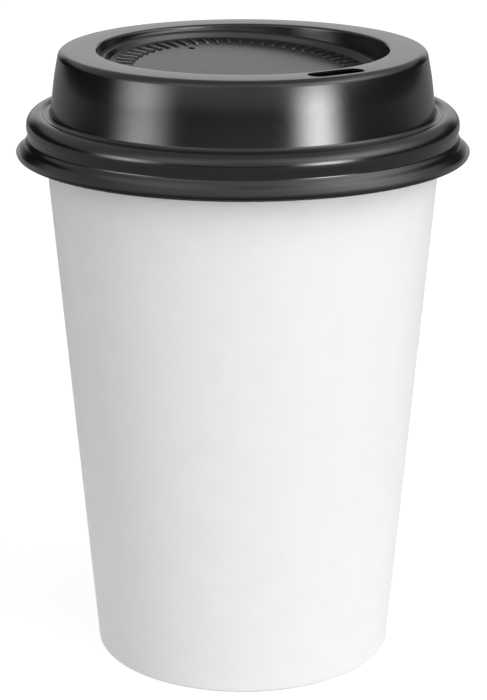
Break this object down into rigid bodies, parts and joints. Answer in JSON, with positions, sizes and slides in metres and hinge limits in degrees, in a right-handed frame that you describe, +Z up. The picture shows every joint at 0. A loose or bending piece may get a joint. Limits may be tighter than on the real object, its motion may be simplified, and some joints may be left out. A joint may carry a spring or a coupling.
{
  "type": "paper coffee cup with travel lid",
  "caption": "Tapered single-wall paper cup with a rolled rim, recessed bottom and a lift-off domed plastic lid with a sip hole and a sloping recess.",
  "frame": {"origin": "centre of the cup's base, on the surface it stands on", "axes": "+Z up along the cup's axis; the sip hole is on the -Y side and the side seam of the cup on the +Y side"},
  "size_m": [0.0962, 0.0962, 0.1332],
  "materials": {
    "cup_board": "white coated paperboard, matte with a slight sheen",
    "bottom_board": "white coated paperboard, matte",
    "lid_plastic": "black glossy thermoformed polystyrene"
  },
  "bodies": {
    "cup": {"cup_sidewall": "cup_board", "cup_bottom": "bottom_board"},
    "lid": {"lid": "lid_plastic"}
  },
  "joints": [
    {"name": "lid_lift", "type": "slide", "parent": "cup", "child": "lid", "axis": [0, 0, 1], "range_m": [0, 0.03]}
  ]
}
